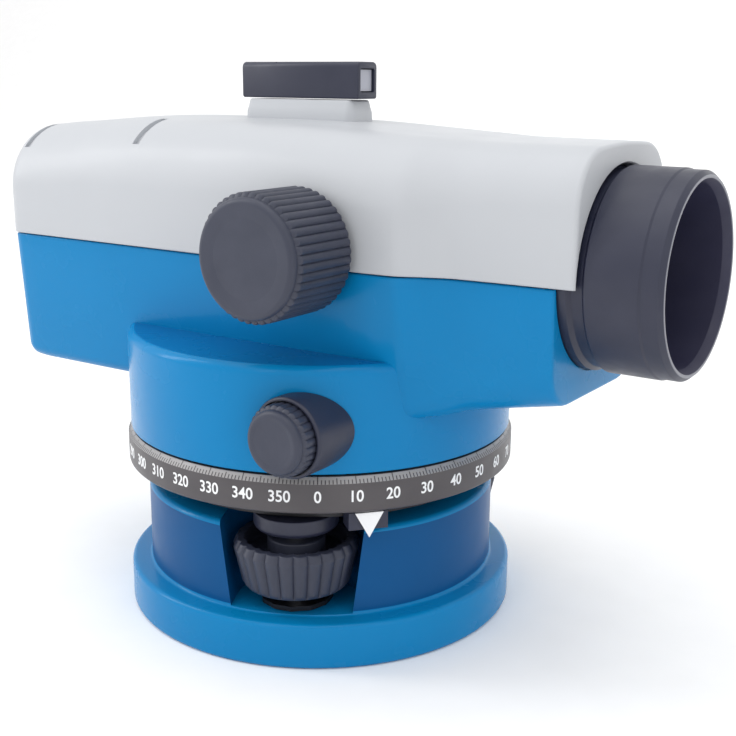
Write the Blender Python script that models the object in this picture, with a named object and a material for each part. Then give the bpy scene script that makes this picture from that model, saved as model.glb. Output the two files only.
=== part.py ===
"""Automatic level: tribrach base, graduated circle and telescope with its compensator.

Frame: origin at the centre of the base plate's underside, +Z up along the vertical axis, the
objective towards +X and the focusing knob on the -Y side. Lengths and places below are in
millimetres. Heights are measured from a datum plane inside the base plate, UNDERSIDE above its
underside; finish() lifts everything by that much and scales it to metres.
"""
from math import cos, pi, radians, sin, tau

import bmesh
import bpy
from mathutils import Matrix, Vector

MM = 0.001
UNDERSIDE = 2.0              # the base plate's underside lies this far below the datum plane
LIFT = Vector((0, 0, UNDERSIDE))
GAP = 0.3                    # clearance between touching pieces

# Base and foot screws
BASE_RADIUS = 54.4
BASE_THICKNESS = 10.0
WALL_RADIUS = 48.8
WALL_TOP = 33.0
BASE_BORE = 20.0
BUSH_RADIUS = 13.0
TRIPOD_THREAD_RADIUS = 7.9
FOOT_ANGLES = (-63.0, 57.0, 177.0)
FOOT_CIRCLE = 38.6
FOOT_KNOB_RADIUS = 16.3
FOOT_KNOB_TAPER = 0.87       # the knob's foot is this share of its full width
FOOT_KNOB_RIBS = 18
FOOT_KNOB_BOTTOM = 15.4
FOOT_KNOB_TOP = 28.0
FOOT_SPINDLE_RADIUS = 2.9
FOOT_COLLAR_RADIUS = 11.0
FOOT_COLLAR_BOTTOM = 30.6
POCKET_RADIUS = 15.8         # at the floor; the pocket widens upwards
POCKET_TOP_RADIUS = 18.8
POCKET_FLOOR = 10.4

# Tribrach, graduated circle and vertical axis
TILT_HEIGHT = 35.0
TRIBRACH_RADIUS = 46.0
TRIBRACH_BOTTOM = 35.6
TRIBRACH_TOP = 38.9
HUB_RADIUS = 18.6
SLEEVE_RADIUS = 16.0
SPINDLE_RADIUS = 11.6
CIRCLE_RADIUS = 54.0
CIRCLE_BORE = 37.4
CIRCLE_BOTTOM = 39.3
CIRCLE_TOP = 48.6
INDEX_ANGLE = -40.5
INDEX_HALF_WIDTH = 3.6

# Housing
DRUM_RADIUS = 53.2
DRUM_BOTTOM = 49.2
DRUM_TOP = 76.0
WALL = 2.6
PARTING = 97.3
DECK = 77.0
REAR_END = -88.0
LOWER_FRONT = 82.5
UPPER_FRONT = 87.3
FRONT_WALL = 74.5            # where the hollow inside ends behind the objective
SHOULDER = 18.0              # round shoulder of the shell, and where its centre lies
SHOULDER_Y = 16.0
GROOVES = ((-83.5, 129.0), (-39.5, 131.4))     # x and the shell's top there
GROOVE_WIDTH = 2.4
GROOVE_DEPTH = 1.2

# Telescope
AXIS = 99.1                  # height of the line of sight
HOOD_RADIUS = 24.2
HOOD_BORE = 21.2
HOOD_REAR = 82.0
HOOD_FRONT = 106.4
BARREL_RADIUS = 20.8
TUBE_RADIUS = 17.5
TUBE_BORE = 15.0
FOCUS_X = 20.9
FOCUS_Z = 102.1
FOCUS_KNOB_RADIUS = 15.2
FOCUS_KNOB_BACK = 36.1
FOCUS_KNOB_FRONT = 57.3
FOCUS_KNOB_RIBS = 24
FOCUS_BUSH_RADIUS = 9.0
PINION_SHAFT_RADIUS = 2.5
PINION_RADIUS = 3.2
PENDULUM_X = -33.5
PENDULUM_Z = 112.0

# Eyepiece, measured from the rear end of the housing
EYEPIECE_FLANGE_RADIUS = 16.6
EYEPIECE_RING_RADIUS = 13.6
EYEPIECE_RING_RIBS = 18
EYEPIECE_RING_LENGTH = 9.0
EYEPIECE_REACH = 20.0
EYEPIECE_PIPE_RADIUS = 12.0
EYEPIECE_PIPE_BORE = 10.3

# Tangent drive
WORM_X = 28.0
WORM_Z = 60.0
WORM_RADIUS = 5.0
WORM_SHAFT_RADIUS = 2.6
WHEEL_RADIUS = 22.6
WHEEL_TEETH = 36
TANGENT_KNOB_RADIUS = 8.8
TANGENT_KNOB_RIBS = 16
SOCKET_RADIUS = 10.0
SOCKET_MOUTH = 51.6
TANGENT_KNOB_BACK = 50.1
TANGENT_KNOB_FRONT = 57.0

# Circular level on the far side
LEVEL_X = -5.5
LEVEL_Y = 42.5
LEVEL_RADIUS = 9.2

# Optical sight on top
SIGHT_REAR = -23.3
SIGHT_FRONT = 15.3
SIGHT_HALF_WIDTH = 4.5
SIGHT_BOTTOM = 136.7
SIGHT_TOP = 146.1

# Moving groups: pivot on the joint's axis, and the group that carries it
GROUPS = {
    "base": ((0, 0, 0), None),
    "tribrach": ((0, 0, TILT_HEIGHT), "base"),
    "circle": ((0, 0, CIRCLE_BOTTOM), "tribrach"),
    "alidade": ((0, 0, DRUM_BOTTOM), "tribrach"),
    "worm": ((WORM_X, 0, WORM_Z), "alidade"),
    "wheel": ((0, 0, WORM_Z), "alidade"),
    "focus": ((FOCUS_X, -FOCUS_KNOB_BACK, FOCUS_Z), "alidade"),
    "focusing_cell": ((FOCUS_X, 0, AXIS), "alidade"),
    "pendulum": ((PENDULUM_X, 0, PENDULUM_Z), "alidade"),
    "eyepiece_dial": ((REAR_END, 0, AXIS), "alidade"),
    "eyepiece_cell": ((REAR_END, 0, AXIS), "alidade"),
}

MATERIALS = {
    "blue_paint": ((0.012, 0.21, 0.56), 0.25, 0.0),
    "white_paint": ((0.68, 0.70, 0.74), 0.42, 0.0),
    "black_plastic": ((0.055, 0.058, 0.078), 0.48, 0.0),
    "circle_plastic": ((0.09, 0.08, 0.08), 0.45, 0.0),
    "black_metal": ((0.02, 0.02, 0.025), 0.4, 0.8),
    "steel": ((0.55, 0.56, 0.58), 0.3, 1.0),
    "brass": ((0.62, 0.42, 0.16), 0.35, 1.0),
    "grey_metal": ((0.32, 0.33, 0.35), 0.45, 1.0),
    "glass": ((0.75, 0.85, 0.9), 0.05, 0.0),
    "mark_white": ((0.85, 0.86, 0.87), 0.5, 0.0),
}


# ---------------------------------------------------------------- shape helpers

def clear_scene():
    for obj in list(bpy.data.objects):
        bpy.data.objects.remove(obj, do_unlink=True)


def make_materials():
    made = {}
    for name, (colour, roughness, metallic) in MATERIALS.items():
        material = bpy.data.materials.new(name)
        material.use_nodes = True
        shader = material.node_tree.nodes["Principled BSDF"]
        shader.inputs["Base Color"].default_value = (*colour, 1.0)
        shader.inputs["Roughness"].default_value = roughness
        shader.inputs["Metallic"].default_value = metallic
        material.diffuse_color = (*colour, 1.0)
        made[name] = material
    return made


def make_groups():
    """One empty per moving group, each on its joint's axis and parented to its carrier."""
    empties = {}
    groups = dict(GROUPS)
    for number, angle in enumerate(FOOT_ANGLES, 1):
        groups[f"foot_screw_{number}"] = ((*polar(FOOT_CIRCLE, angle), 0), "base")
    for name, (pivot, carrier) in groups.items():
        empty = bpy.data.objects.new(f"{name}_axis", None)
        empty.empty_display_size = 10 * MM
        bpy.context.scene.collection.objects.link(empty)
        start = Vector((0, 0, 0))
        if carrier:
            empty.parent = empties[carrier][0]
            start = empties[carrier][1]
        here = Vector(pivot) + (LIFT if carrier else Vector((0, 0, 0)))
        empty.location = (here - start) * MM
        empties[name] = (empty, here)
    return empties


def polar(radius, degrees):
    return (radius * cos(radians(degrees)), radius * sin(radians(degrees)))


def turned(profile, segments, axis="Z", centre=(0, 0, 0)):
    """Turn a closed (radius, height) outline about an axis; radius 0 becomes a pole."""
    shape = bmesh.new()
    rings = []
    for radius, height in profile:
        if radius == 0:
            rings.append([shape.verts.new((0, 0, height))])
            continue
        angles = [tau * step / segments for step in range(segments)]
        rings.append([shape.verts.new((radius * cos(a), radius * sin(a), height)) for a in angles])
    for ring, following in zip(rings, rings[1:] + rings[:1]):
        for step in range(segments):
            corners = [ring[step % len(ring)], ring[(step + 1) % segments % len(ring)],
                       following[(step + 1) % segments % len(following)],
                       following[step % len(following)]]
            corners = list(dict.fromkeys(corners))
            if len(corners) > 2:
                shape.faces.new(corners)
    turns = {"X": Matrix.Rotation(pi / 2, 4, "Y"), "Y": Matrix.Rotation(-pi / 2, 4, "X")}
    matrix = Matrix.Translation(centre) @ turns.get(axis, Matrix.Identity(4))
    return tidy(shape, matrix)


def tidy(shape, matrix=None):
    if matrix is not None:
        bmesh.ops.transform(shape, matrix=matrix, verts=shape.verts)
    bmesh.ops.recalc_face_normals(shape, faces=shape.faces)
    return shape


def rod(radius, start, end, segments=24, axis="Z", centre=(0, 0, 0)):
    """Solid cylinder; start and end are measured along the axis from the centre."""
    return turned([(0, start), (radius, start), (radius, end), (0, end)], segments, axis, centre)


def tube(outer, inner, start, end, segments=32, axis="Z", centre=(0, 0, 0)):
    profile = [(inner, start), (outer, start), (outer, end), (inner, end)]
    return turned(profile, segments, axis, centre)


def lofted(sections):
    """Skin matching closed sections, given as lists of points, and cap both ends."""
    shape = bmesh.new()
    rows = [[shape.verts.new(point) for point in section] for section in sections]
    for row, following in zip(rows, rows[1:]):
        for step in range(len(row)):
            after = (step + 1) % len(row)
            shape.faces.new((row[step], row[after], following[after], following[step]))
    shape.faces.new(rows[0])
    shape.faces.new(rows[-1])
    return tidy(shape)


def block(x_range, y_range, z_range):
    sections = []
    for x in x_range:
        corners = ((0, 0), (1, 0), (1, 1), (0, 1))
        sections.append([(x, y_range[i], z_range[j]) for i, j in corners])
    return lofted(sections)


def extruded(outline, start, end):
    """Raise a flat (x, y) outline between two heights."""
    return lofted([[(x, y, z) for x, y in outline] for z in (start, end)])


def combine(shape, tool, operation):
    """Exact Boolean of two shapes, which are both used up."""
    inputs = []
    for part in (shape, tool):
        mesh = bpy.data.meshes.new("boolean_input")
        part.to_mesh(mesh)
        part.free()
        inputs.append(bpy.data.objects.new("boolean_input", mesh))
        bpy.context.scene.collection.objects.link(inputs[-1])
    modifier = inputs[0].modifiers.new("boolean", "BOOLEAN")
    modifier.object = inputs[1]
    modifier.operation = operation
    modifier.solver = "EXACT"
    depsgraph = bpy.context.evaluated_depsgraph_get()
    result = bmesh.new()
    result.from_mesh(inputs[0].evaluated_get(depsgraph).to_mesh())
    bmesh.ops.triangulate(result, faces=result.faces)
    for obj in inputs:
        bpy.data.meshes.remove(obj.data)
    return result


def cut(shape, *tools):
    for tool in tools:
        shape = combine(shape, tool, "DIFFERENCE")
    return shape


def join(shape, *others):
    for other in others:
        shape = combine(shape, other, "UNION")
    return shape


def ribbed_outline(radius, depth, ribs):
    """Round outline with flat-topped grip ribs."""
    points = []
    for rib in range(ribs):
        for share, reach in ((0.0, radius - depth), (0.25, radius), (0.75, radius)):
            angle = tau * (rib + share) / ribs
            points.append((reach * cos(angle), reach * sin(angle)))
    return points


def ribbed_knob(radius, depth, ribs, back, front, axis_point, direction):
    """Ribbed knob lying along Y, with a plain chamfered face at its front end."""
    outline = ribbed_outline(radius, depth, ribs)
    face = 2.2
    levels = ((back, 1.0), (front - face, 1.0), (front - 0.6, 0.955), (front, 0.9))
    sections = []
    for distance, share in levels:
        section = [(axis_point[0] + x * share, direction * distance, axis_point[1] + y * share)
                   for x, y in outline]
        sections.append(section)
    return lofted(sections)


def finish(name, shape, material, group):
    """Turn a shape into a named object whose origin lies on its group's axis."""
    empty, pivot = groups[group]
    place = Matrix.Scale(MM, 4) @ Matrix.Translation(LIFT - pivot)
    bmesh.ops.transform(shape, matrix=place, verts=shape.verts)
    mesh = bpy.data.meshes.new(name)
    shape.to_mesh(mesh)
    shape.free()
    mesh.materials.clear()
    mesh.materials.append(materials[material])
    mesh.shade_smooth()
    mesh.set_sharp_from_angle(angle=radians(32))
    obj = bpy.data.objects.new(name, mesh)
    obj.parent = empty
    bpy.context.scene.collection.objects.link(obj)


# ---------------------------------------------------------------- base and foot screws

def make_base():
    rim = BASE_RADIUS
    profile = [
        (BUSH_RADIUS + GAP, -UNDERSIDE), (rim - 1.4, -UNDERSIDE), (rim - 0.3, 1 - UNDERSIDE),
        (rim, 3 - UNDERSIDE), (rim, BASE_THICKNESS - 1.2),
        (rim - 1.2, BASE_THICKNESS), (WALL_RADIUS, BASE_THICKNESS),
        (WALL_RADIUS, WALL_TOP - 1.5), (WALL_RADIUS - 1.5, WALL_TOP), (BASE_BORE, WALL_TOP),
        (BASE_BORE, 14), (BUSH_RADIUS + GAP, 14),
    ]
    plate = turned(profile, 48)
    for angle in FOOT_ANGLES:
        x, y = polar(FOOT_CIRCLE, angle)
        pocket = lofted([[(px, py, z) for px, py in pocket_outline(angle, radius)]
                         for radius, z in ((POCKET_RADIUS, POCKET_FLOOR),
                                           (POCKET_TOP_RADIUS, WALL_TOP + 2))])
        cup = rod(5.4, 4.5, POCKET_FLOOR + 1, 12, centre=(x, y, 0))
        plate = cut(plate, pocket, cup)
    finish("base_plate", plate, "blue_paint", "base")

    bush = tube(BUSH_RADIUS, TRIPOD_THREAD_RADIUS, GAP - UNDERSIDE, 13.5, 24)
    finish("tripod_bush", bush, "brass", "base")


def pocket_outline(angle, radius):
    """Round-ended slot, open outwards, around one foot screw."""
    outline = []
    for step in range(9):
        turn = radians(angle + 90 + 180 * step / 8)
        x, y = polar(FOOT_CIRCLE, angle)
        outline.append((x + radius * cos(turn), y + radius * sin(turn)))
    reach = 24.0
    out_x, out_y = polar(reach, angle)
    last, first = outline[-1], outline[0]
    outline.append((last[0] + out_x, last[1] + out_y))
    outline.append((first[0] + out_x, first[1] + out_y))
    return outline


def make_foot_screws():
    for number, angle in enumerate(FOOT_ANGLES, 1):
        x, y = polar(FOOT_CIRCLE, angle)
        group = f"foot_screw_{number}"
        centre = Matrix.Translation((x, y, 0))

        outline = ribbed_outline(FOOT_KNOB_RADIUS, 1.0, FOOT_KNOB_RIBS)
        knob = lofted([[(px * share, py * share, z) for px, py in outline] for share, z in (
            (FOOT_KNOB_TAPER, FOOT_KNOB_BOTTOM), (1.0, FOOT_KNOB_TOP - 2), (1.0, FOOT_KNOB_TOP))])
        dish = tube(13.2, 7.5, 23.5, FOOT_KNOB_TOP + 1, 18)
        bore = rod(FOOT_SPINDLE_RADIUS + GAP, FOOT_KNOB_BOTTOM - 1, FOOT_KNOB_TOP + 1, 12)
        knob = cut(knob, dish, bore)
        finish(f"{group}_knob", tidy(knob, centre), "black_plastic", group)

        radius = FOOT_SPINDLE_RADIUS
        profile = [(0, 5), (3.2, 5.3), (4.6, 7), (4.6, 8.2), (radius, 9.8), (radius, 36.2),
                   (radius - 0.8, 37.0), (0, 37.0)]
        spindle = turned(profile, 12)
        finish(f"{group}_spindle", tidy(spindle, centre), "steel", group)

        clip = tube(9.5, radius + 0.5, POCKET_FLOOR + GAP, POCKET_FLOOR + GAP + 1.2, 12)
        finish(f"foot_clip_{number}", tidy(clip, centre), "black_metal", "base")

        neck = radius + 0.5
        seat = TRIBRACH_BOTTOM - GAP
        profile = [(neck, FOOT_COLLAR_BOTTOM), (FOOT_COLLAR_RADIUS, FOOT_COLLAR_BOTTOM),
                   (FOOT_COLLAR_RADIUS, seat), (6, seat), (6, TRIBRACH_TOP - GAP),
                   (neck, TRIBRACH_TOP - GAP)]
        bush = turned(profile, 16)
        finish(f"foot_bush_{number}", tidy(bush, centre), "black_plastic", "tribrach")


# ---------------------------------------------------------------- tribrach and circle

def make_tribrach():
    bore = SLEEVE_RADIUS + GAP
    profile = [
        (bore, 24), (HUB_RADIUS, 24), (HUB_RADIUS, TRIBRACH_BOTTOM), (TRIBRACH_RADIUS, TRIBRACH_BOTTOM),
        (TRIBRACH_RADIUS, TRIBRACH_TOP), (37, TRIBRACH_TOP), (37, 49.4), (33, 49.4),
        (33, 41.5), (bore, 41.5),
    ]
    body = turned(profile, 36)
    for angle in FOOT_ANGLES:
        x, y = polar(FOOT_CIRCLE, angle)
        body = cut(body, rod(6 + GAP, 30, 45, 16, centre=(x, y, 0)))
    finish("tribrach", body, "black_metal", "tribrach")

    sleeve = tube(SLEEVE_RADIUS, SPINDLE_RADIUS + GAP, 24.3, 66, 28)
    finish("axis_sleeve", sleeve, "brass", "tribrach")

    turn = Matrix.Rotation(radians(INDEX_ANGLE), 4, "Z")
    bracket = block((TRIBRACH_RADIUS + GAP, 52.0), (-5, 5), (34.2, TRIBRACH_TOP - 0.2))
    finish("index_bracket", tidy(bracket, turn), "black_plastic", "tribrach")
    half = INDEX_HALF_WIDTH
    outline = ((-half, TRIBRACH_TOP), (half, TRIBRACH_TOP), (0, 32.4))
    mark = lofted([[(radius, y, z) for y, z in outline] for radius in (52.3, 53.0)])
    finish("index_mark", tidy(mark, turn), "mark_white", "tribrach")

    rim = CIRCLE_RADIUS
    profile = [(CIRCLE_BORE, CIRCLE_BOTTOM), (rim - 1.2, CIRCLE_BOTTOM), (rim, CIRCLE_BOTTOM + 1),
               (rim, CIRCLE_TOP - 1.1), (rim - 1.1, CIRCLE_TOP), (CIRCLE_BORE, CIRCLE_TOP)]
    finish("graduated_circle", turned(profile, 60), "circle_plastic", "circle")


# ---------------------------------------------------------------- housings

def hull_section(x, half_top, half_bottom, top, bottom, corner):
    """Trough-shaped section, wider at the top, with rounded bottom corners."""
    slope = (half_top - half_bottom) / (top - bottom)
    side = (half_bottom + corner * slope, bottom + corner)
    middle = (half_bottom - 0.25 * corner, bottom + 0.25 * corner)
    floor = (half_bottom - corner, bottom)
    right = [(half_top, top), side, middle, floor]
    left = [(-y, z) for y, z in reversed(right)]
    return [(x, y, z) for y, z in right + left]


def shell_section(x, half_width, top, shoulder, bottom):
    """Upright section with round shoulders and a flat top."""
    steps = 5
    right = [(half_width, bottom)]
    for step in range(steps + 1):
        turn = pi / 2 * step / steps
        right.append((half_width - shoulder * (1 - cos(turn)), top - shoulder * (1 - sin(turn))))
    left = [(-y, z) for y, z in reversed(right)]
    return [(x, y, z) for y, z in right + left]


def make_lower_housing():
    rim = 2.4
    profile = [(0, DRUM_BOTTOM), (DRUM_RADIUS, DRUM_BOTTOM), (DRUM_RADIUS, DRUM_TOP - rim),
               (DRUM_RADIUS - 0.7, DRUM_TOP - 0.7), (DRUM_RADIUS - rim, DRUM_TOP), (0, DRUM_TOP)]
    drum = turned(profile, 56)
    stations = (                                   # x, half top, half bottom, bottom, corner
        (REAR_END, 31.2, 28.8, 62.4, 3.5), (REAR_END + 1.2, 32.6, 30.2, 60.9, 3.5),
        (REAR_END + 3.6, 33.2, 30.9, 60.2, 3.5), (REAR_END + 9, 33.3, 31.1, 60.0, 3.5),
        (34.5, 33.3, 28.0, 60.0, 3.5), (45.5, 32.4, 26.8, 61.0, 4.5),
        (51.5, 29.2, 25.8, 62.2, 6.0), (58.5, 27.0, 24.8, 64.2, 7.5),
        (LOWER_FRONT, 25.2, 24.2, 68.8, 10.0),
    )
    hull = lofted([hull_section(x, top, bottom, PARTING, low, corner)
                   for x, top, bottom, low, corner in stations])
    housing = join(drum, hull)

    hollow = lofted([hull_section(x, top, bottom, PARTING + 2, DECK, 2.0) for x, top, bottom in (
        (REAR_END + WALL, 27.5, 25.5), (-81.3, 30.2, 28.0), (44.5, 30.2, 26.4),
        (58.5, 24.4, 21.4), (FRONT_WALL, 23.0, 20.2))])
    drum_hollow = rod(DRUM_RADIUS - 3, DRUM_BOTTOM - 1, 73.4, 40)
    rear_pit = block((-83.3, -56.5), (-24, 24), (64.6, DECK + 2))
    housing = cut(housing, hollow, drum_hollow, rear_pit, *telescope_openings(), focus_opening())
    for start in (-60, 30):
        housing = cut(housing, rod(3.3, start, start + 30, 16, "Y", (WORM_X, 0, WORM_Z)))
    finish("lower_housing", housing, "blue_paint", "alidade")

    cover = tube(DRUM_RADIUS - 3 - GAP, SLEEVE_RADIUS + 0.8, 50.7, 52.5, 40)
    finish("bottom_cover", cover, "black_plastic", "alidade")

    profile = [(0, 26), (SPINDLE_RADIUS - 1, 26), (SPINDLE_RADIUS, 27), (SPINDLE_RADIUS, 70.3),
               (20, 70.3), (20, 73.1), (0, 73.1)]
    finish("vertical_spindle", turned(profile, 28), "steel", "alidade")


def telescope_openings():
    """Round openings in the housing's ends for the objective and the eyepiece."""
    bore = BARREL_RADIUS + 0.4
    seat = HOOD_RADIUS + 0.4
    step = HOOD_REAR - GAP
    profile = [(0, FRONT_WALL - 5), (bore, FRONT_WALL - 5), (bore, step), (seat, step),
               (seat, 90), (0, 90)]
    front = turned(profile, 36, "X", (0, 0, AXIS))
    rear = rod(EYEPIECE_PIPE_RADIUS + 0.4, REAR_END - 7, REAR_END + WALL + 6, 20, "X", (0, 0, AXIS))
    return front, rear


def focus_opening():
    return rod(FOCUS_BUSH_RADIUS + GAP, -40, -25, 20, "Y", (FOCUS_X, 0, FOCUS_Z))


def make_upper_shell():
    foot = PARTING + GAP
    stations = (                                   # x, half width, top, shoulder radius
        (REAR_END, 31.8, 126.6, 16.2), (REAR_END + 1.2, 33.2, 128.0, 17.2),
        (REAR_END + 3.6, 33.9, 128.7, 17.7), (REAR_END + 9, 34.0, 129.1, 17.8),
        (-42.5, 34.0, 131.4, 18.0), (2.5, 34.0, 131.4, 18.0),
        (32.5, 33.9, 130.0, 18.0), (44.5, 33.2, 129.3, 17.5), (51.5, 30.2, 129.0, 16.0),
        (58.5, 27.8, 128.7, 14.5), (UPPER_FRONT, 25.6, 128.5, 13.0),
    )
    shell = lofted([shell_section(x, half, top, shoulder, foot)
                    for x, half, top, shoulder in stations])
    sections = []
    for z, half in ((124.0, 6.2), (SIGHT_BOTTOM - GAP, 4.2)):
        outline = rounded_rectangle(SIGHT_REAR + 1.8, SIGHT_FRONT - 1.6, half, 2.0)
        sections.append([(x, y, z) for x, y in outline])
    shell = join(shell, lofted(sections))

    hollow = lofted([shell_section(x, half, top, shoulder, foot - 2) for x, half, top, shoulder in (
        (REAR_END + WALL, 27.5, 122.8, 12.0), (-80.8, 31.0, 126.2, 14.8), (-42.5, 31.4, 128.8, 15.4),
        (2.5, 31.4, 128.8, 15.4), (32.5, 31.2, 127.4, 15.4), (43.5, 30.4, 126.8, 14.8),
        (58.5, 25.2, 126.1, 12.0), (FRONT_WALL, 24.2, 126.0, 11.0))])
    shell = cut(shell, hollow, *telescope_openings(), focus_opening())
    for x, top in GROOVES:
        for side in (-1, 1):
            shell = cut(shell, shoulder_groove(x, top, side))
    finish("upper_shell", shell, "white_paint", "alidade")


def shoulder_groove(x, top, side):
    """Cutter for a short groove of even depth across one round shoulder of the shell."""
    outline = []
    for radius, turns in ((SHOULDER - GROOVE_DEPTH, (5, 20, 35, 50)),
                          (SHOULDER + 2, (50, 35, 20, 5))):
        for turn in turns:
            angle = radians(turn)
            outline.append((side * (SHOULDER_Y + radius * sin(angle)),
                            top - SHOULDER + radius * cos(angle)))
    half = GROOVE_WIDTH / 2
    return lofted([[(place, y, z) for y, z in outline] for place in (x - half, x + half)])


def rounded_rectangle(low_x, high_x, half_y, radius):
    outline = []
    corners = ((high_x, 1, 0), (low_x, 1, 90), (low_x, -1, 180), (high_x, -1, 270))
    for x, side, start in corners:
        middle = (x - radius if x == high_x else x + radius, side * (half_y - radius))
        for step in range(4):
            turn = radians(start + 30 * step)
            outline.append((middle[0] + radius * cos(turn), middle[1] + radius * sin(turn)))
    return outline


def make_sight():
    outline = ((-1.0, 0.0), (-1.0, 0.85), (-0.85, 1.0), (0.85, 1.0), (1.0, 0.85), (1.0, 0.0))
    height = SIGHT_TOP - SIGHT_BOTTOM
    sections = [[(x, y * SIGHT_HALF_WIDTH, SIGHT_BOTTOM + z * height) for y, z in outline]
                for x in (SIGHT_REAR, SIGHT_FRONT)]
    middle = (SIGHT_BOTTOM + SIGHT_TOP) / 2
    opening = block((SIGHT_REAR - 1, SIGHT_FRONT + 1), (-3.2, 3.2), (middle - 3, middle + 3))
    finish("sight_body", cut(lofted(sections), opening), "black_plastic", "alidade")
    for name, x in (("front", SIGHT_FRONT - 2.4), ("rear", SIGHT_REAR + 0.8)):
        window = block((x, x + 1.6), (-2.9, 2.9), (middle - 2.7, middle + 2.7))
        finish(f"sight_window_{name}", window, "glass", "alidade")


# ---------------------------------------------------------------- telescope

def make_objective():
    centre = (0, 0, AXIS)
    radius = HOOD_RADIUS
    profile = [(HOOD_BORE, HOOD_REAR), (radius, HOOD_REAR), (radius, 100.1), (radius - 0.7, 100.7),
               (radius - 0.7, 101.7), (radius, 102.3), (radius, HOOD_FRONT - 0.8),
               (radius - 0.8, HOOD_FRONT), (HOOD_BORE + 0.6, HOOD_FRONT),
               (HOOD_BORE, HOOD_FRONT - 0.8)]
    finish("objective_hood", turned(profile, 40, "X", centre), "black_plastic", "alidade")
    finish("objective_barrel", tube(BARREL_RADIUS, 18.6, 46.5, 84.5, 32, "X", centre),
           "black_metal", "alidade")
    profile = [(0, 73.0), (9.2, 73.5), (18.3, 75.5), (18.3, 78.7), (9.2, 80.8), (0, 81.5)]
    finish("objective_lens", turned(profile, 28, "X", centre), "glass", "alidade")
    finish("lens_ring", tube(18.3, 16.4, 79.3, 83.5, 28, "X", centre), "black_metal", "alidade")

    pipe = tube(TUBE_RADIUS, TUBE_BORE, -9.5, 62.5, 28, "X", centre)
    slot = block((-3.5, 48.5), (-TUBE_RADIUS - 2, -10), (95.6, 99.8))
    finish("telescope_tube", cut(pipe, slot), "black_metal", "alidade")
    cradle = join(block((-7.5, 44.5), (-14, 14), (DECK + GAP, 79.6)),
                  block((-6.5, 0.5), (-6, 6), (79, 81.2)), block((35.5, 42.5), (-6, 6), (79, 81.2)))
    finish("telescope_cradle", cradle, "grey_metal", "alidade")


def make_focusing():
    bush = tube(FOCUS_BUSH_RADIUS, PINION_SHAFT_RADIUS + 0.4, -FOCUS_KNOB_BACK + GAP, -29, 20,
                "Y", (FOCUS_X, 0, FOCUS_Z))
    finish("focus_bush", bush, "black_plastic", "alidade")
    knob = ribbed_knob(FOCUS_KNOB_RADIUS, 0.7, FOCUS_KNOB_RIBS, FOCUS_KNOB_BACK,
                       FOCUS_KNOB_FRONT, (FOCUS_X, FOCUS_Z), -1)
    shaft = PINION_SHAFT_RADIUS
    bore = rod(shaft + GAP, -50, -FOCUS_KNOB_BACK + 1, 12, "Y", (FOCUS_X, 0, FOCUS_Z))
    finish("focus_knob", cut(knob, bore), "black_plastic", "focus")
    profile = [(0, -49.7), (shaft, -49.7), (shaft, -22.4), (PINION_RADIUS, -22.4),
               (PINION_RADIUS, -18.2), (0, -18.2)]
    finish("focus_pinion", turned(profile, 12, "Y", (FOCUS_X, 0, FOCUS_Z)), "steel", "focus")

    centre = (FOCUS_X, 0, AXIS)
    cell = tube(TUBE_BORE - 0.4, 11.6, -6, 6, 24, "X", centre)
    rack_top = FOCUS_Z - PINION_RADIUS - GAP
    reach = 13.0
    rack = join(block((FOCUS_X - reach, FOCUS_X + reach), (-22.2, -18.4), (96.2, rack_top)),
                block((FOCUS_X - 5, FOCUS_X + 5), (-19, -13), (96.2, rack_top)))
    finish("focusing_cell", join(cell, rack), "brass", "focusing_cell")
    profile = [(0, -1.4), (11.3, -2.6), (11.3, 2.6), (0, 1.4)]
    finish("focusing_lens", turned(profile, 20, "X", centre), "glass", "focusing_cell")


def make_compensator():
    base = block((-51.5, -11.5), (-18, 18), (DECK + GAP, 79.4))
    sides = [block((-39.5, -27.5), low_high, (78, 119)) for low_high in ((-18, -15.5), (15.5, 18))]
    bar = block((-36.5, -30.5), (-17, 17), (116, 119))
    posts = [block(x_range, (-6, 6), (78, 91.2)) for x_range in ((-22.5, -12.5), (-51.5, -44.5))]
    finish("compensator_frame", join(base, *sides, bar, *posts), "grey_metal", "alidade")
    for name, x_range in (("front", (-22.5, -12.5)), ("rear", (-54.5, -44.5))):
        low, high = (x_range[0], x_range[1]) if name == "front" else (x_range[1], x_range[0])
        outline = ((high, 91.6), (high, 106.6), (low, 106.6), (low, 98.0))
        prism = lofted([[(x, y, z) for x, z in outline] for y in (-6.5, 6.5)])
        finish(f"prism_{name}", prism, "glass", "alidade")

    bar = block((PENDULUM_X - 2, PENDULUM_X + 2), (-12, 12), (110.8, 113.2))
    arms = [block((PENDULUM_X - 2, PENDULUM_X + 2), low_high, (83, 112))
            for low_high in ((-12, -9.8), (9.8, 12))]
    plate = block((-41.5, -26), (-12, 12), (82, 84))
    bands = [block((PENDULUM_X - 0.2, PENDULUM_X + 0.2), low_high, (112.5, 115.7))
             for low_high in ((-10.5, -8.5), (8.5, 10.5))]
    finish("pendulum", join(bar, *arms, plate, *bands), "brass", "pendulum")
    outline = ((-41, 84.3), (-26.3, 84.3), (-30, 92.4), (-37.3, 92.4))
    prism = lofted([[(x, y, z) for x, z in outline] for y in (-7, 7)])
    finish("pendulum_prism", prism, "glass", "pendulum")
    magnet = block((-38.5, -28.5), (-5, 5), (79.7, 81.2))
    finish("damper_magnet", magnet, "steel", "alidade")


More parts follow.
